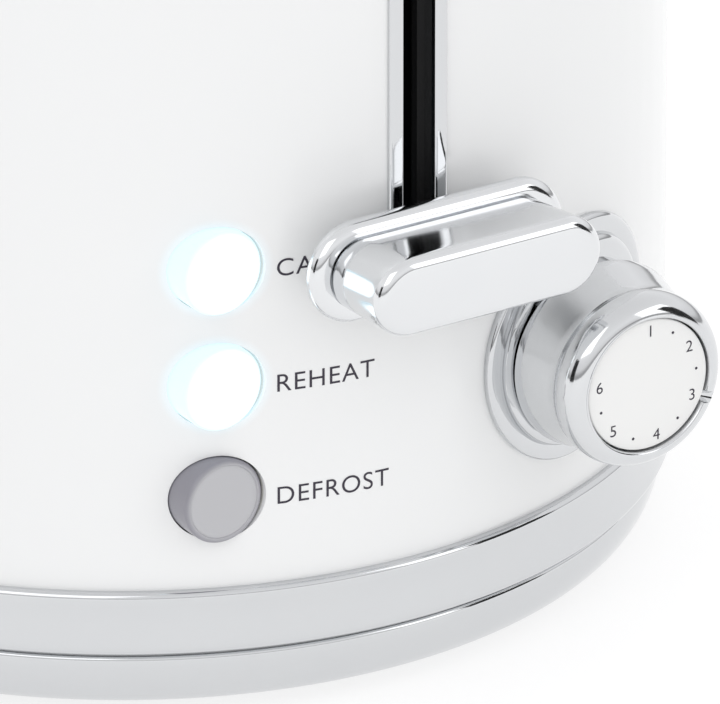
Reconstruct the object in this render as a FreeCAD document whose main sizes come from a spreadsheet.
import FreeCAD, Part
import math
import os
import re
import Sketcher

# Pop up toaster for two slices, in millimetres, +Z up, standing on its feet at z = 0.
# The long axis is X, with the controls at the +X end. Seen from that end, +Y is to the right.
# The body is a stadium in plan: a straight middle and a half round at each end.
# Sizes are written about the middle of the body; centre_x then moves every piece so that
# the origin lies under the middle of the whole toaster, with its lever and cord gland.

SIZES = {
    # Body shell
    "body_length": 310.0,
    "body_width": 195.0,
    "shell_base": 27.2,
    "shell_top": 196.5,
    "shell_wall": 0.8,
    "top_round": 38.0,
    # Two-tier base
    "foot_height": 3.0,
    "foot_radius": 8.0,
    "plinth_top": 14.0,
    "plinth_in": 0.5,
    "plinth_round": 6.3,
    "plinth_floor": 1.6,
    "plate_thick": 0.8,
    "collar_out": 1.7,
    "base_wall": 2.0,
    "screw_along": 50.0,
    "screw_radius": 1.5,
    # Chamber: end plates, side panels, cards and guards
    "sheet_thick": 1.0,
    "bread_centre": 32.0,
    "bread_length": 150.0,
    "bread_width": 34.0,
    "guard_base": 46.0,
    "guard_wire": 0.8,
    "rack_height": 52.0,
    # Carriage
    "lift_travel": 45.0,
    "lever_height": 88.6,
    "rod_radius": 3.0,
    "bush_radius": 6.0,
    # Lever and its slot
    "lever_gap": 4.5,
    "flange_length": 52.4,
    "flange_height": 19.0,
    "flange_depth": 3.5,
    "grip_length": 46.6,
    "grip_height": 15.0,
    "grip_rise": 1.2,
    "lever_reach": 25.0,
    "arm_thick": 2.4,
    "arm_height": 8.0,
    "slot_half": 3.2,
    "trim_half": 6.0,
    # Browning control
    "dial_across": 37.1,
    "dial_height": 57.9,
    "dial_radius": 12.4,
    "dial_reach": 17.5,
    "knob_gap": 1.2,
    "knob_radius": 17.6,
    "knob_turn": 67.0,
    "bezel_radius": 22.4,
    "bezel_step": 1.6,
    # Push buttons
    "button_across": 36.7,
    "button_low": 44.6,
    "button_mid": 66.3,
    "button_high": 88.5,
    "button_radius": 7.9,
    "button_set": 4.5,
    "button_travel": 1.5,
    # Frame behind the controls, crumb tray and cord gland
    "frame_set": 27.0,
    "tray_height": 5.5,
    "gland_reach": 9.0,
    "gland_height": 38.0,
    "gland_bore": 3.6,
}

# Lengths worked out from the sheet. An expression may use these names as well as the sheet's.
DERIVED = {
    "centre_x": "(gland_reach - lever_reach) / 2",
    "end_radius": "body_width / 2",
    "end_centre": "(body_length - body_width) / 2",
    "top_flat": "end_radius - top_round",
    "body_end": "body_length / 2",
    "collar_base": "plinth_top + plate_thick",
    "collar_radius": "end_radius + collar_out",
    "plinth_radius": "end_radius - plinth_in",
    "screw_across": "end_radius - 10",
    "chamber_half": "bread_length / 2 + 6",
    "chamber_side": "bread_centre + card_offset + 8.4",
    "chamber_top": "shell_top - 18.5",
    "card_offset": "bread_width / 2 + 4",
    "guard_offset": "bread_width / 2 - 5.5",
    "guard_top": "chamber_top - 8",
    "rack_half": "guard_offset - 2.2",
    "rod_place": "chamber_half + sheet_thick + 12",
    "rod_hanger": "lever_height + lift_travel + 23.4",
    "carriage_back": "chamber_half + sheet_thick + 1.5",
    "flange_back": "body_end + lever_gap",
    "flange_front": "flange_back + flange_depth",
    "lever_front": "body_end + lever_reach",
    "arm_low": "lever_height - arm_height / 2",
    "arm_high": "lever_height + arm_height / 2",
    "slot_low": "lever_height - 4.6",
    "slot_high": "lever_height + lift_travel + 5",
    "knob_back": "body_end + knob_gap",
    "dial_plane": "body_end + dial_reach",
    "button_front": "body_end - button_set",
    "frame_place": "body_end - frame_set",
    "board_place": "frame_place - 10",
    "tray_half": "chamber_side - 11.9",
    "tray_base": "collar_base + 0.4",
    "tray_rear": "body_end - 20",
}

BUTTONS = {"cancel": "button_high", "reheat": "button_mid", "defrost": "button_low"}
SIDES = {"left": -1, "right": 1}
X_TURN = FreeCAD.Rotation(FreeCAD.Vector(0, 1, 0), 90)

DOC = FreeCAD.newDocument("Toaster")
SHEET = DOC.addObject("Spreadsheet::Sheet", "Sizes")
NODES = {}


# ---------------------------------------------------------------- sizes and expressions

def fill_sheet():
    """One row for each driving size: its name, and its value under the same alias."""
    for row, (name, value) in enumerate(SIZES.items(), start=1):
        SHEET.set(f"A{row}", name)
        SHEET.set(f"B{row}", str(value))
        SHEET.setAlias(f"B{row}", name)
    DOC.recompute()


def sized(text):
    """The expression with each derived length written out and each size turned into its cell."""
    def spell_out(word):
        if word[0] in DERIVED:
            return f"({sized(DERIVED[word[0]])})"
        return f"Sizes.{word[0]}" if word[0] in SIZES else word[0]

    return re.sub(r"[a-z_]+", spell_out, text)


def number(text):
    """The present value of an expression."""
    return float(SHEET.evalExpression(sized(text)))


def bind(item, prop, text):
    """Tie a property to an expression."""
    item.setExpression(prop, sized(text))


def node(name, item):
    """Keep an object as the sub-part of this name."""
    item.Label = name
    NODES[name] = item
    return item


# ---------------------------------------------------------------- PartDesign helpers

def loose_body(name):
    """An empty body that stands at the middle of the toaster and isn't a sub-part itself."""
    body = DOC.addObject("PartDesign::Body", f"{name}_body")
    bind(body, "Placement.Base.x", "centre_x")
    return body


def new_body(name):
    """The empty body of one sub-part."""
    return node(name, loose_body(name))


def sketch_on(body, role, offset):
    """A sketch on one of the body's own origin planes, moved along its normal."""
    plane = [item for item in body.Origin.OriginFeatures if item.Role == role][0]
    sketch = body.newObject("Sketcher::SketchObject", f"{body.Name}_sketch")
    sketch.AttachmentSupport = [(plane, "")]
    sketch.MapMode = "FlatFace"
    bind(sketch, "AttachmentOffset.Base.z", offset)
    return sketch


def dimension(sketch, kind, places, text):
    """A driving constraint tied to an expression."""
    index = sketch.addConstraint(Sketcher.Constraint(kind, *places, number(text)))
    bind(sketch, f"Constraints[{index}]", text)


def pin_point(sketch, item, point, across, up):
    """Hold one point of the sketch at two distances from its origin."""
    dimension(sketch, "DistanceX", (-1, 1, item, point), across)
    dimension(sketch, "DistanceY", (-1, 1, item, point), up)


def draw_circle(sketch, across, up, radius):
    """A circle at a place."""
    centre = FreeCAD.Vector(number(across), number(up), 0)
    ring = Part.Circle(centre, FreeCAD.Vector(0, 0, 1), number(radius))
    item = sketch.addGeometry(ring, False)
    pin_point(sketch, item, 3, across, up)
    dimension(sketch, "Radius", (item,), radius)


def draw_lines(sketch, corners):
    """A closed outline of straight lines, with every corner held."""
    points = [FreeCAD.Vector(number(across), number(up), 0) for across, up in corners]
    first = sketch.GeometryCount
    for index, point in enumerate(points):
        after = points[(index + 1) % len(points)]
        sketch.addGeometry(Part.LineSegment(point, after), False)
    for index, (across, up) in enumerate(corners):
        after = first + (index + 1) % len(points)
        sketch.addConstraint(Sketcher.Constraint("Coincident", first + index, 2, after, 1))
        pin_point(sketch, first + index, 1, across, up)


def draw_box(sketch, low, high):
    """A rectangle between two corners."""
    draw_lines(sketch, [low, (high[0], low[1]), high, (low[0], high[1])])


def draw_pill(sketch, start, end, radius):
    """A slot outline around the line between two places, across or upright."""
    first = sketch.GeometryCount
    size = number(radius)
    centres = [FreeCAD.Vector(number(across), number(up), 0) for across, up in (start, end)]
    along = (centres[1] - centres[0]).normalize()
    side = FreeCAD.Vector(-along.y, along.x, 0) * size
    turn = math.atan2(along.y, along.x)
    upright = FreeCAD.Vector(0, 0, 1)
    half = math.pi / 2
    arcs = [(centres[0], turn + half, turn + 3 * half), (centres[1], turn - half, turn + half)]
    for centre, begin, stop in arcs:
        sketch.addGeometry(Part.ArcOfCircle(Part.Circle(centre, upright, size), begin, stop), False)
    sketch.addGeometry(Part.LineSegment(centres[0] - side, centres[1] - side), False)
    sketch.addGeometry(Part.LineSegment(centres[1] + side, centres[0] + side), False)
    joins = [(0, 2, 2, 1), (2, 2, 1, 1), (1, 2, 3, 1), (3, 2, 0, 1)]
    for one, one_end, two, two_end in joins:
        places = (first + one, one_end, first + two, two_end)
        sketch.addConstraint(Sketcher.Constraint("Tangent", *places))
    sketch.addConstraint(Sketcher.Constraint("Equal", first, first + 1))
    dimension(sketch, "Radius", (first,), radius)
    pin_point(sketch, first, 3, *start)
    pin_point(sketch, first + 1, 3, *end)


def draw_stadium(sketch, radius):
    """The toaster's plan outline with the given end radius."""
    draw_pill(sketch, ("-(end_centre)", "0"), ("end_centre", "0"), radius)


def pad(body, sketch, length, backward=False):
    """Add the sketch's outline as material of the given length along its normal."""
    feature = body.newObject("PartDesign::Pad", f"{body.Name}_pad")
    feature.Profile = sketch
    feature.Reversed = backward
    bind(feature, "Length", length)
    DOC.recompute()
    return feature


def pocket(body, sketch, length, backward=False):
    """Cut the sketch's outline out of the body against its normal, and check that it cut."""
    before = body.Shape.Volume
    feature = body.newObject("PartDesign::Pocket", f"{body.Name}_pocket")
    feature.Profile = sketch
    feature.Reversed = backward
    bind(feature, "Length", length)
    DOC.recompute()
    if body.Shape.Volume >= before:
        raise RuntimeError(f"{feature.Name} cuts nothing")
    return feature


def edges_where(body, test):
    """Names of the body's edges whose middle point passes the test."""
    found = []
    for index, edge in enumerate(body.Shape.Edges, start=1):
        local = body.Placement.inverse().multVec(edge.CenterOfMass)
        if test(edge, local):
            found.append(f"Edge{index}")
    return found


def round_edges(body, names, radius):
    """Fillet the named edges of the body's newest feature."""
    base = body.Tip
    feature = body.newObject("PartDesign::Fillet", f"{body.Name}_fillet")
    feature.Base = (base, names)
    bind(feature, "Radius", radius)
    DOC.recompute()
    return feature


def rim_edges(body, axis, place):
    """Names of the edges that lie wholly in the plane at this place along the axis."""
    level = number(place)

    def in_plane(edge, _):
        box = edge.BoundBox
        low, high = {"x": (box.XMin, box.XMax), "z": (box.ZMin, box.ZMax)}[axis]
        shift = body.Placement.Base.x if axis == "x" else 0
        return abs(low - shift - level) < 0.01 and abs(high - shift - level) < 0.01

    return edges_where(body, in_plane)


# ---------------------------------------------------------------- Part helpers

def block(low, high):
    """A Part::Box between two corners given as expressions."""
    item = DOC.addObject("Part::Box", "Block")
    for prop, start, stop in zip(("Length", "Width", "Height"), low, high):
        bind(item, prop, f"({stop}) - ({start})")
    bind(item, "Placement.Base.x", f"centre_x + ({low[0]})")
    bind(item, "Placement.Base.y", low[1])
    bind(item, "Placement.Base.z", low[2])
    return item


def upright(along, across, low, high, radius):
    """A Part::Cylinder along Z."""
    item = DOC.addObject("Part::Cylinder", "Upright")
    bind(item, "Radius", radius)
    bind(item, "Height", f"({high}) - ({low})")
    bind(item, "Placement.Base.x", f"centre_x + ({along})")
    bind(item, "Placement.Base.y", across)
    bind(item, "Placement.Base.z", low)
    return item


def lengthwise(low, high, across, up, radius):
    """A Part::Cylinder along X."""
    item = DOC.addObject("Part::Cylinder", "Lengthwise")
    item.Placement = FreeCAD.Placement(FreeCAD.Vector(), X_TURN)
    bind(item, "Radius", radius)
    bind(item, "Height", f"({high}) - ({low})")
    bind(item, "Placement.Base.x", f"centre_x + ({low})")
    bind(item, "Placement.Base.y", across)
    bind(item, "Placement.Base.z", up)
    return item


def crosswise(along, low, high, up, radius):
    """A Part::Cylinder along Y."""
    item = DOC.addObject("Part::Cylinder", "Crosswise")
    item.Placement = FreeCAD.Placement(FreeCAD.Vector(), FreeCAD.Rotation(FreeCAD.Vector(1, 0, 0), -90))
    bind(item, "Radius", radius)
    bind(item, "Height", f"({high}) - ({low})")
    bind(item, "Placement.Base.x", f"centre_x + ({along})")
    bind(item, "Placement.Base.y", low)
    bind(item, "Placement.Base.z", up)
    return item


def join(items):
    """Several solids fused into one."""
    item = DOC.addObject("Part::MultiFuse", "Joined")
    item.Shapes = items
    item.Refine = True
    return item


def common(one, two):
    """What two solids share."""
    item = DOC.addObject("Part::Common", "Shared")
    item.Base = one
    item.Tool = two
    return item


def cut(base, tools):
    """The base less every tool."""
    item = DOC.addObject("Part::Cut", "Less")
    item.Base = base
    item.Tool = tools[0] if len(tools) == 1 else join(tools)
    item.Refine = True
    return item


def group(items):
    """Separate solids kept together."""
    item = DOC.addObject("Part::Compound", "Group")
    item.Links = items
    return item


def corners(along, across):
    """The four places at these distances from the middle."""
    return [(f"{x} * ({along})", f"{y} * ({across})") for x in (-1, 1) for y in (-1, 1)]


# ---------------------------------------------------------------- outside of the body

def shell_form():
    """The whole painted cover: stadium plan, rounded top, one wall thickness, open at the bottom."""
    body = loose_body("shell_form")
    sketch = sketch_on(body, "XY_Plane", "shell_base")
    draw_stadium(sketch, "end_radius")
    pad(body, sketch, "shell_top - shell_base")
    round_edges(body, rim_edges(body, "z", "shell_top"), "top_round")
    hollow(body)
    cut_bread_slots(body, "shell_top", "bread_length + 3", "bread_width + 3", "shell_wall + 2")
    cut_control_holes(body)
    sketch = sketch_on(body, "YZ_Plane", "-(body_end)")
    draw_circle(sketch, "0", "gland_height", "gland_bore + 3.5")
    pocket(body, sketch, "10", backward=True)
    return body


def outer_shell():
    """Seven pressings welded edge to edge: the flat top, two straight sides and four quarter rounds."""
    whole = shell_form()
    low, high = "shell_top - shell_wall - 1", "shell_top + 1"
    middle = block(("-end_centre", "-top_flat", low), ("end_centre", "top_flat", high))
    ends = [upright(along, "0", low, high, "top_flat") for along in ("-end_centre", "end_centre")]
    flat = join([middle, *ends])
    node("shell_top", common(whole, flat))
    skirt = cut(whole, [flat])
    lengths = {
        "rear": ("-body_end - 1", "-end_centre"),
        "side": ("-end_centre", "end_centre"),
        "front": ("end_centre", "body_end + 1"),
    }
    widths = {"left": ("-end_radius - 1", "0"), "right": ("0", "end_radius + 1")}
    for part, (start, stop) in lengths.items():
        for side, (inner, outer) in widths.items():
            share = block((start, inner, "shell_base - 1"), (stop, outer, high))
            node(f"shell_{part}_{side}", common(skirt, share))


def hollow(body):
    """Shell the body to its wall thickness, open at its lowest face."""
    lowest = min(range(len(body.Shape.Faces)), key=lambda index: body.Shape.Faces[index].CenterOfMass.z)
    base = body.Tip
    feature = body.newObject("PartDesign::Thickness", f"{body.Name}_hollow")
    feature.Base = (base, [f"Face{lowest + 1}"])
    feature.Reversed = True
    feature.Mode = 0
    feature.Join = 1
    bind(feature, "Value", "shell_wall")
    DOC.recompute()


def cut_bread_slots(body, top, length, width, depth):
    """Both bread slots, cut downward from a height."""
    sketch = sketch_on(body, "XY_Plane", top)
    for side in SIDES.values():
        middle = f"{side} * bread_centre"
        low = (f"-({length}) / 2", f"{middle} - ({width}) / 2")
        high = (f"({length}) / 2", f"{middle} + ({width}) / 2")
        draw_box(sketch, low, high)
    pocket(body, sketch, depth)


def cut_control_holes(body):
    """Holes for the lever, the buttons and the browning control, along X through the round end."""
    sketch = sketch_on(body, "YZ_Plane", "body_end")
    draw_pill(sketch, ("0", "slot_low"), ("0", "slot_high"), "slot_half + 0.9")
    for height in BUTTONS.values():
        draw_circle(sketch, "-button_across", height, "button_radius + 0.35")
    draw_circle(sketch, "dial_across", "dial_height", "8")
    pocket(body, sketch, "20")


def slot_bezel():
    """Chromed surround of both bread slots, with a sleeve down each slot."""
    body = new_body("slot_bezel")
    sketch = sketch_on(body, "XY_Plane", "shell_top")
    half = ("bread_length / 2 + 7", "bread_centre + bread_width / 2 + 4")
    draw_box(sketch, (f"-({half[0]})", f"-({half[1]})"), half)
    pad(body, sketch, "1.5")
    tall = edges_where(body, lambda edge, _: edge.BoundBox.ZLength > 1)
    round_edges(body, tall, "12")
    round_edges(body, rim_edges(body, "z", "shell_top + 1.5"), "1")
    sketch = sketch_on(body, "XY_Plane", "shell_top")
    for side in SIDES.values():
        middle = f"{side} * bread_centre"
        low = ("-bread_length / 2 - 1", f"{middle} - bread_width / 2 - 1")
        high = ("bread_length / 2 + 1", f"{middle} + bread_width / 2 + 1")
        draw_box(sketch, low, high)
    pad(body, sketch, "12", backward=True)
    cut_bread_slots(body, "shell_top + 1.5", "bread_length", "bread_width", "20")


def base_collar():
    """Upper tier of the base: a chromed ring that the shell stands on, open for the crumb tray."""
    body = new_body("base_collar")
    sketch = sketch_on(body, "XY_Plane", "collar_base")
    draw_stadium(sketch, "collar_radius")
    pad(body, sketch, "shell_base - (collar_base)")
    round_edges(body, rim_edges(body, "z", "shell_base"), "1.2")
    round_edges(body, rim_edges(body, "z", "collar_base"), "1.6")
    sketch = sketch_on(body, "XY_Plane", "shell_base")
    draw_stadium(sketch, "end_radius - base_wall")
    pocket(body, sketch, "20")
    sketch = sketch_on(body, "XY_Plane", "collar_base")
    for along, across in corners("screw_along", "screw_across"):
        draw_circle(sketch, along, across, "7.5")
    pad(body, sketch, "7")
    sketch = sketch_on(body, "XY_Plane", "collar_base")
    for along, across in corners("screw_along", "screw_across"):
        draw_circle(sketch, along, across, "screw_radius")
    pocket(body, sketch, "6", backward=True)
    sketch = sketch_on(body, "YZ_Plane", "-(body_end) - 5")
    draw_box(sketch, ("-tray_half - 1.5", "collar_base - 1"), ("tray_half + 1.5", "tray_base + 8.2"))
    pocket(body, sketch, "40", backward=True)


def base_plinth():
    """Lower tier of the base: a chromed pan with a rounded underside, a boss round each screw."""
    body = new_body("base_plinth")
    sketch = sketch_on(body, "XY_Plane", "foot_height")
    draw_stadium(sketch, "plinth_radius")
    pad(body, sketch, "plinth_top - foot_height")
    round_edges(body, rim_edges(body, "z", "foot_height"), "plinth_round")
    sketch = sketch_on(body, "XY_Plane", "plinth_top")
    draw_stadium(sketch, "plinth_radius - base_wall")
    pocket(body, sketch, "plinth_top - foot_height - plinth_floor")
    sketch = sketch_on(body, "XY_Plane", "foot_height + plinth_floor")
    for along, across in corners("screw_along", "screw_across"):
        draw_circle(sketch, along, across, "4.5")
    pad(body, sketch, "plinth_top - foot_height - plinth_floor")
    drill_screws(body, "plinth_top", "screw_radius + 0.2", "30")
    sketch = sketch_on(body, "XY_Plane", "foot_height + 2")
    for along, across in corners("screw_along", "screw_across"):
        draw_circle(sketch, along, across, "3.6")
    pocket(body, sketch, "2")
    sketch = sketch_on(body, "XY_Plane", "plinth_top")
    for along, across in corners("95", "55"):
        draw_circle(sketch, along, across, "3.2")
    pocket(body, sketch, "30")


def drill_screws(body, top, radius, depth):
    """The four base screw holes, cut downward from a height."""
    sketch = sketch_on(body, "XY_Plane", top)
    for along, across in corners("screw_along", "screw_across"):
        draw_circle(sketch, along, across, radius)
    pocket(body, sketch, depth)


def bottom_plate():
    """Steel floor between the tiers; its set-back edge is the groove between them."""
    body = new_body("bottom_plate")
    sketch = sketch_on(body, "XY_Plane", "plinth_top")
    draw_stadium(sketch, "end_radius - 1.5")
    pad(body, sketch, "plate_thick")
    drill_screws(body, "collar_base", "screw_radius + 0.2", "plate_thick")


def feet():
    """Four rubber feet, each a pad with a plug up into the plinth."""
    items = []
    for along, across in corners("95", "55"):
        foot = upright(along, across, "0", "foot_height", "foot_radius")
        plug = upright(along, across, "foot_height", "foot_height + 5", "3")
        items.append(join([foot, plug]))
    node("feet", group(items))


def base_screws():
    """Four screws up through the plinth and the floor into the collar's lugs."""
    items = []
    for along, across in corners("screw_along", "screw_across"):
        head = upright(along, across, "foot_height + 0.2", "foot_height + 2", "3.3")
        shank = upright(along, across, "foot_height + 2", "collar_base + 5", "screw_radius - 0.05")
        items.append(join([head, shank]))
    node("base_screws", group(items))


# ---------------------------------------------------------------- crumb tray

def crumb_tray():
    """Shallow open tray of thin sheet under the chamber."""
    low = ("-(tray_rear)", "-tray_half", "tray_base")
    high = ("chamber_half - 5", "tray_half", "tray_base + tray_height")
    inner_low = [f"{place} + 0.8" for place in low]
    inner_high = [f"{high[0]} - 0.8", f"{high[1]} - 0.8", f"{high[2]} + 1"]
    node("crumb_tray", cut(block(low, high), [block(inner_low, inner_high)]))


def crumb_tray_pull():
    """End piece of the tray, flush with the collar's round end, with a ledge to pull it by."""
    rear = "-body_length / 2 - 20"
    centre = "-(end_centre)"
    top = "tray_base + 7.7"
    face = upright(centre, "0", "tray_base", top, "collar_radius + 0.4")
    front = common(face, block((rear, "-tray_half - 0.5", "0"), ("-(tray_rear)", "tray_half + 0.5", "40")))
    lip = upright(centre, "0", "tray_base + 4.3", top, "collar_radius + 4.3")
    ledge = common(lip, block((rear, "-15", "0"), ("-(body_end) + 5", "15", "40")))
    node("crumb_tray_pull", join([front, ledge]))


# ---------------------------------------------------------------- lever and slot

def slot_trim():
    """Chromed ring round the lever slot, with a sleeve through the shell."""
    body = new_body("slot_trim")
    ends = (("0", "slot_low"), ("0", "slot_high"))
    sketch = sketch_on(body, "YZ_Plane", "body_end + 0.02")
    draw_pill(sketch, *ends, "trim_half")
    pad(body, sketch, "1")
    round_edges(body, rim_edges(body, "x", "body_end + 1.02"), "0.7")
    sketch = sketch_on(body, "YZ_Plane", "body_end + 0.02")
    draw_pill(sketch, *ends, "slot_half + 0.8")
    pad(body, sketch, "2.7", backward=True)
    sketch = sketch_on(body, "YZ_Plane", "body_end + 1.02")
    draw_pill(sketch, *ends, "slot_half")
    pocket(body, sketch, "6")


def slot_liner():
    """Black plate behind the slot, with a narrow slit for the arm."""
    body = new_body("slot_liner")
    sketch = sketch_on(body, "YZ_Plane", "body_end - 4.5")
    draw_box(sketch, ("-8", "slot_low - 10"), ("8", "slot_high + 10"))
    pad(body, sketch, "1.8")
    sketch = sketch_on(body, "YZ_Plane", "body_end - 2.7")
    draw_pill(sketch, ("0", "slot_low"), ("0", "slot_high"), "arm_thick / 2 + 0.5")
    pocket(body, sketch, "5")


def lever_knob():
    """Chromed lever: a flange near the shell and a deep grip, both pill shaped."""
    body = new_body("lever_knob")
    add_lever_tier(body, "flange_back", "flange_front", "lever_height", "flange_length", "flange_height", "1.6")
    grip_centre = "lever_height + grip_rise"
    add_lever_tier(body, "flange_front", "lever_front", grip_centre, "grip_length", "grip_height", "2.2")
    sketch = sketch_on(body, "YZ_Plane", "flange_back")
    low = ("-arm_thick / 2", "arm_low")
    high = ("arm_thick / 2", "arm_high")
    draw_box(sketch, low, high)
    pocket(body, sketch, "10", backward=True)


def add_lever_tier(body, back, front, middle, length, height, edge):
    """One pill-shaped tier of the lever with a rounded front edge."""
    sketch = sketch_on(body, "YZ_Plane", back)
    half = f"({length} - {height}) / 2"
    draw_pill(sketch, (f"-{half}", middle), (half, middle), f"{height} / 2")
    pad(body, sketch, f"{front} - ({back})")
    round_edges(body, rim_edges(body, "x", front), edge)


def lever_arm():
    """Flat steel arm from the carriage out through the slot into the lever."""
    low = ("rod_place + 8", "-arm_thick / 2", "arm_low")
    high = ("flange_back + 10", "arm_thick / 2", "arm_high")
    node("lever_arm", block(low, high))


# ---------------------------------------------------------------- carriage

def carriage_bracket():
    """Steel bracket that carries both racks, the bush, the lever arm and the armature."""
    back = "carriage_back"
    front = f"{back} + 1.5"
    low = "lever_height - 18"
    high = "lever_height + 6"
    plate = block((back, "-bread_centre - 4", "guard_base"), (front, "bread_centre + 4", "lever_height + 15"))
    web = block((front, "-3", low), ("rod_place", "3", high))
    clamp = upright("rod_place", "0", low, high, "bush_radius + 1.5")
    tab = block(("rod_place", "arm_thick / 2", "lever_height - 5"), ("rod_place + 18", "arm_thick / 2 + 1.5", high))
    shelf = block((front, "-27", low), ("rod_place + 7", "-13", f"{low} + 1.5"))
    bore = upright("rod_place", "0", f"{low} - 1", f"{high} + 1", "bush_radius")
    node("carriage_bracket", cut(join([plate, web, clamp, tab, shelf]), [bore]))


def carriage_bush():
    """Plastic bush that runs on the guide rod."""
    ends = ("lever_height - 19.6", "lever_height + 8.4")
    outer = upright("rod_place", "0", *ends, "bush_radius")
    inner = upright("rod_place", "0", *ends, "rod_radius + 0.06")
    node("carriage_bush", cut(outer, [inner]))


def guide_rod():
    """Polished rod that the carriage slides on."""
    node("guide_rod", upright("rod_place", "0", "collar_base", "rod_hanger + 7", "rod_radius"))


def rod_bracket():
    """Plate that holds the rod's top to the end plate."""
    low = ("chamber_half + sheet_thick", "-8", "rod_hanger")
    plate = block(low, ("rod_place + 7", "8", "rod_hanger + 2"))
    bore = upright("rod_place", "0", "rod_hanger - 5", "rod_hanger + 5", "rod_radius")
    node("rod_bracket", cut(plate, [bore]))


def carriage_spring():
    """Lift spring round the rod above the bush, as the sleeve that its coils fill."""
    ends = ("lever_height + 8.5", "rod_hanger - 0.1")
    outer = upright("rod_place", "0", *ends, "rod_radius + 2.4")
    inner = upright("rod_place", "0", *ends, "rod_radius + 0.6")
    node("carriage_spring", cut(outer, [inner]))


def bread_racks():
    """One rack under each slice: a spine with cross wires."""
    for side, sign in SIDES.items():
        middle = f"{sign} * bread_centre"
        low = ("-chamber_half - 5", f"{middle} - 1.5", "rack_height - 3")
        high = ("carriage_back", f"{middle} + 1.5", "rack_height")
        pieces = [block(low, high)]
        for step in range(-4, 5):
            along = f"{step} * bread_length / 9"
            pieces.append(crosswise(along, f"{middle} - rack_half", f"{middle} + rack_half", "rack_height - 0.4", "1.2"))
        node(f"bread_rack_{side}", join(pieces))


def magnet():
    """Armature on the carriage, and the core and coil that hold it down while toasting."""
    low = "lever_height - 20"
    node("armature", block(("88", "-26", low), ("100", "-14", "lever_height - 18")))
    top = f"{low} - 0.4"
    base = "lever_height - 50"
    inner_leg = block(("88", "-26", base), ("92", "-14", top))
    outer_leg = block(("96", "-26", base), ("100", "-14", top))
    yoke = block(("chamber_half + sheet_thick", "-26", base), ("100", "-14", f"{base} + 4"))
    node("magnet_core", join([inner_leg, outer_leg, yoke]))
    coil = block(("86.5", "-27.5", f"{base} + 5"), ("93.5", "-12.5", f"{top} - 3"))
    hole = block(("88", "-26", base), ("92", "-14", top))
    node("magnet_coil", cut(coil, [hole]))


# ---------------------------------------------------------------- heating chamber

def end_plate(name, place):
    """Steel end plate with slots for the rack spines and holes for the guard pivots."""
    body = new_body(name)
    sketch = sketch_on(body, "YZ_Plane", place)
    draw_box(sketch, ("-chamber_side", "collar_base"), ("chamber_side", "chamber_top"))
    pad(body, sketch, "sheet_thick")
    sketch = sketch_on(body, "YZ_Plane", f"{place} + sheet_thick")
    for sign in SIDES.values():
        middle = f"{sign} * bread_centre"
        low = (f"{middle} - 3", "rack_height - 6")
        draw_box(sketch, low, (f"{middle} + 3", "rack_height + lift_travel + 3"))
        for away in ("- guard_offset", "+ guard_offset"):
            draw_circle(sketch, f"{middle} {away}", "guard_base", "guard_wire + 0.5")
    pocket(body, sketch, "sheet_thick")
    return body


def end_plates():
    """Both end plates; the crumb tray passes under the rear one."""
    end_plate("control_end_plate", "chamber_half")
    body = end_plate("rear_end_plate", "-chamber_half - sheet_thick")
    sketch = sketch_on(body, "YZ_Plane", "-chamber_half")
    draw_box(sketch, ("-tray_half - 2", "plinth_top"), ("tray_half + 2", "tray_base + 8.2"))
    pocket(body, sketch, "sheet_thick")


def side_panels():
    """Bright steel reflectors along both sides of the chamber."""
    for side, sign in SIDES.items():
        near = "chamber_side - sheet_thick" if sign > 0 else "-chamber_side"
        low = ("-chamber_half", near, "collar_base")
        node(f"side_panel_{side}", block(low, ("chamber_half", f"{near} + sheet_thick", "chamber_top")))


def heaters():
    """Four mica cards, one on each side of each slice, and the ribbon wound on each."""
    number_of = 0
    for sign in SIDES.values():
        for away in (-1, 1):
            number_of += 1
            face = f"{sign} * bread_centre + {away} * card_offset"
            low = ("-chamber_half + 0.2", f"{face} - 0.3", "50")
            node(f"heater_card_{number_of}", block(low, ("chamber_half - 0.2", f"{face} + 0.3", "172")))
            near = f"{face} + 0.3" if away < 0 else f"{face} - 0.6"
            node(f"heater_ribbon_{number_of}", join(ribbon(near)))


def ribbon(near):
    """Flat resistance ribbon that runs to and fro over a card, from bottom to top."""
    pieces = []
    rows = 8
    pitch = 14
    for row in range(rows):
        level = 60 + pitch * row
        pieces.append(block(("-70", near, f"{level}"), ("70", f"{near} + 0.3", f"{level + 1.5}")))
        if row < rows - 1:
            turn = 68.5 if row % 2 == 0 else -70
            top = level + pitch + 1.5
            pieces.append(block((f"{turn}", near, f"{level}"), (f"{turn + 1.5}", f"{near} + 0.3", f"{top}")))
    return pieces


def bread_guards():
    """Four wire guards, each hinged on its bottom wire."""
    number_of = 0
    for sign in SIDES.values():
        for away in (-1, 1):
            number_of += 1
            across = f"{sign} * bread_centre + {away} * guard_offset"
            pivot = "chamber_half + 2"
            pieces = [lengthwise(f"-({pivot})", pivot, across, "guard_base", "guard_wire + 0.2")]
            pieces.append(lengthwise("-73", "73", across, "guard_top", "guard_wire"))
            for step in range(-4, 5):
                along = f"{step} * 18"
                pieces.append(upright(along, across, "guard_base", "guard_top", "guard_wire"))
            node(f"bread_guard_{number_of}", join(pieces))


# ---------------------------------------------------------------- controls

def control_frame():
    """Black frame behind the round end that carries the board and the browning control."""
    body = new_body("control_frame")
    sketch = sketch_on(body, "YZ_Plane", "frame_place")
    draw_box(sketch, ("-60", "collar_base"), ("60", "130"))
    pad(body, sketch, "2")
    sketch = sketch_on(body, "YZ_Plane", "frame_place + 2")
    draw_box(sketch, ("-5", "lever_height - 10"), ("5", "140"))
    for height in BUTTONS.values():
        draw_circle(sketch, "-button_across", height, "7.6")
    draw_circle(sketch, "dial_across", "dial_height", "6")
    pocket(body, sketch, "2")


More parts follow.
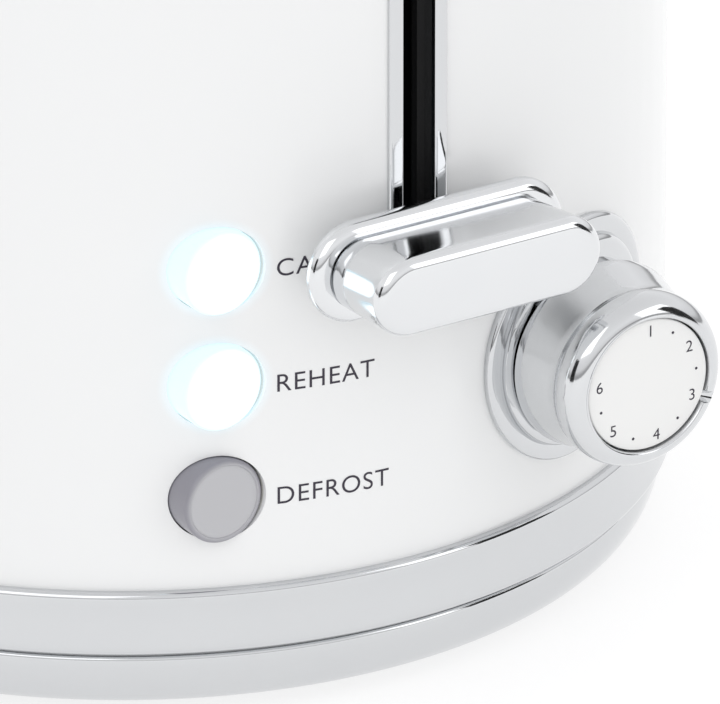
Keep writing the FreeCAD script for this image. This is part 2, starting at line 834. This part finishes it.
def control_board():
    """Circuit board behind the buttons, with its standoffs, switches and lamps."""
    board = "board_place + 1.6"
    low = ("board_place", "-56", "35")
    node("control_board", block(low, (board, "-12", "102")))
    posts = []
    for across in ("-53", "-15"):
        for up in ("38", "99"):
            posts.append(lengthwise(board, "frame_place", across, up, "2.2"))
    node("board_standoffs", group(posts))
    switches = []
    lamps = []
    for height in BUTTONS.values():
        low = (board, "-button_across - 3", f"{height} - 3")
        switches.append(block(low, (f"{board} + 3.5", "-button_across + 3", f"{height} + 3")))
        lamps.append(lengthwise(board, f"{board} + 5", "-button_across - 5.4", height, "1.5"))
    node("tact_switches", group(switches))
    node("board_leds", group(lamps))


def buttons():
    """Three round translucent push buttons: a cap, a keeper and a stem to the switch."""
    for name, height in BUTTONS.items():
        body = new_body(f"{name}_button")
        centre = ("-button_across", height)
        stem_end = "board_place + 5.1 + button_travel + 0.2"
        stem = sketch_on(body, "YZ_Plane", stem_end)
        draw_circle(stem, *centre, "2.9")
        pad(body, stem, f"button_front - 10 - ({stem_end})")
        keeper = sketch_on(body, "YZ_Plane", "button_front - 14.5")
        draw_circle(keeper, *centre, "button_radius + 1")
        pad(body, keeper, "1.5")
        cap = sketch_on(body, "YZ_Plane", "button_front - 13")
        draw_circle(cap, *centre, "button_radius")
        pad(body, cap, "13")
        round_edges(body, rim_edges(body, "x", "button_front"), "1.4")


def potentiometer():
    """Rotary control on the back of the frame, bored right through for the dial's post."""
    case = block(("board_place", "dial_across - 9", "dial_height - 9"),
                 ("frame_place", "dial_across + 9", "dial_height + 9"))
    nose = lengthwise("frame_place", "frame_place + 5", "dial_across", "dial_height", "5.9")
    post = lengthwise("board_place - 1", "frame_place", "dial_across", "dial_height", "3")
    shaft = lengthwise("board_place + 2", "frame_place + 6", "dial_across", "dial_height", "5.1")
    node("potentiometer", cut(join([case, nose]), [join([post, shaft])]))


def browning_knob():
    """Chromed ring that turns round the fixed dial, with a pointer notch across its rim."""
    body = new_body("browning_knob")
    body.Placement = FreeCAD.Placement(
        FreeCAD.Vector(number("centre_x + knob_back"), number("dial_across"), number("dial_height")),
        FreeCAD.Rotation(FreeCAD.Vector(1, 0, 0), number("knob_turn")) * X_TURN)
    bind(body, "Placement.Base.x", "centre_x + knob_back")
    bind(body, "Placement.Base.y", "dial_across")
    bind(body, "Placement.Base.z", "dial_height")
    front = "dial_plane - knob_back + 0.8"
    sketch = sketch_on(body, "XZ_Plane", "0")
    outline = [
        ("3.3", "board_place + 4 - knob_back"),
        ("5", "board_place + 4 - knob_back"),
        ("5", "0"),
        ("knob_radius", "0"),
        ("knob_radius - 0.8", "3"),
        ("knob_radius - 1.2", "8"),
        ("knob_radius - 1.1", f"{front} - 3"),
        ("knob_radius - 1.1", front),
        ("dial_radius + 0.3", front),
        ("dial_radius + 0.3", "2.5"),
        ("3.3", "2.5"),
    ]
    draw_lines(sketch, outline)
    turned = body.newObject("PartDesign::Revolution", "browning_knob_turned")
    turned.Profile = sketch
    turned.ReferenceAxis = (sketch, ["V_Axis"])
    turned.Angle = 360
    DOC.recompute()
    rim = edges_where(body, lambda edge, middle: is_rim(edge, number("knob_radius - 1.1"), number(front)))
    round_edges(body, rim, "2.9")
    notch = sketch_on(body, "XY_Plane", front)
    draw_box(notch, ("dial_radius - 2", "-1"), ("knob_radius + 2", "1"))
    pocket(body, notch, "2.6")


def is_rim(edge, radius, reach):
    """Whether an edge is the full circle of this radius, this far in front of the knob's back."""
    curve = edge.Curve
    if not isinstance(curve, Part.Circle):
        return False
    level = curve.Center.x - number("centre_x + knob_back")
    return abs(curve.Radius - radius) < 0.01 and abs(level - reach) < 0.01


def dial_face():
    """Fixed white dial on a post that runs back to the potentiometer."""
    disc = lengthwise("dial_plane - 1.5", "dial_plane", "dial_across", "dial_height", "dial_radius")
    post = lengthwise("board_place", "dial_plane - 1.5", "dial_across", "dial_height", "3")
    node("dial_face", join([disc, post]))


def dial_bezel():
    """Chromed bezel in two steps that follow the round end, with a hub up to the knob."""
    steps = []
    for tier, radius in ((1, "bezel_radius"), (2, "bezel_radius - 3.3")):
        disc = lengthwise("body_end - 30", "body_end + 10", "dial_across", "dial_height", radius)
        outer = upright("end_centre", "0", "20", "100", f"end_radius + {tier} * bezel_step")
        steps.append(common(disc, outer))
    steps.append(lengthwise("body_end - 30", "knob_back - 0.3", "dial_across", "dial_height", "15.5"))
    wall = upright("end_centre", "0", "20", "100", "end_radius + 0.02")
    outside = cut(join(steps), [wall])
    spigot = lengthwise("body_end - 14", "knob_back - 2", "dial_across", "dial_height", "7.8")
    bore = lengthwise("body_end - 40", "knob_back + 5", "dial_across", "dial_height", "5.6")
    beyond = lengthwise("knob_back - 0.3", "knob_back + 20", "dial_across", "dial_height", "bezel_radius + 5")
    node("dial_bezel", cut(join([outside, spigot]), [bore, beyond]))


# ---------------------------------------------------------------- cord side

def cord_gland():
    """Strain relief bush in the rear wall, bored for the cord."""
    wall = "-(body_end)"
    flange = lengthwise(f"{wall} - 2", f"{wall} - 0.02", "0", "gland_height", "gland_bore + 5.4")
    nose = lengthwise(f"{wall} - gland_reach", f"{wall} - 2", "0", "gland_height", "gland_bore + 3.4")
    barrel = lengthwise(f"{wall} - 0.02", f"{wall} + 7", "0", "gland_height", "gland_bore + 3.3")
    bore = lengthwise(f"{wall} - gland_reach - 1", f"{wall} + 8", "0", "gland_height", "gland_bore")
    node("cord_gland", cut(join([flange, nose, barrel]), [bore]))


def terminal_block():
    """Terminal block on the rear end plate."""
    back = "-chamber_half - sheet_thick"
    node("terminal_block", block((f"{back} - 15", "-15", "60"), (back, "15", "75")))


# ---------------------------------------------------------------- build and write

def check_model():
    """Stop at any object that failed and any sub-part without a valid solid."""
    for item in DOC.Objects:
        if {"Invalid", "Error"} & set(item.State):
            raise RuntimeError(f"{item.Name} is {item.State}")
    for name, item in NODES.items():
        shape = item.Shape
        if shape.isNull() or not shape.isValid() or not shape.Solids:
            raise RuntimeError(f"{name} has no valid solid")


def write_parts():
    """One STEP file for each sub-part."""
    os.makedirs("parts", exist_ok=True)
    for name, item in NODES.items():
        item.Shape.exportStep(f"parts/{name}.step")


def main():
    """Build every sub-part, check them all, then write them."""
    fill_sheet()
    builders = (
        outer_shell, slot_bezel, base_collar, base_plinth, bottom_plate, feet, base_screws,
        crumb_tray, crumb_tray_pull, slot_trim, slot_liner, lever_knob, lever_arm,
        carriage_bracket, carriage_bush, guide_rod, rod_bracket, carriage_spring, bread_racks, magnet,
        end_plates, side_panels, heaters, bread_guards, control_frame, control_board, buttons,
        potentiometer, browning_knob, dial_face, dial_bezel, cord_gland, terminal_block,
    )
    for builder in builders:
        builder()
    DOC.recompute()
    check_model()
    write_parts()
    whole = Part.makeCompound([item.Shape for item in NODES.values()]).BoundBox
    print(f"{len(NODES)} sub-parts, {whole.XMin:.2f} to {whole.XMax:.2f}, {whole.YLength:.2f} wide, "
          f"{whole.ZMin:.2f} to {whole.ZMax:.2f}")


main()
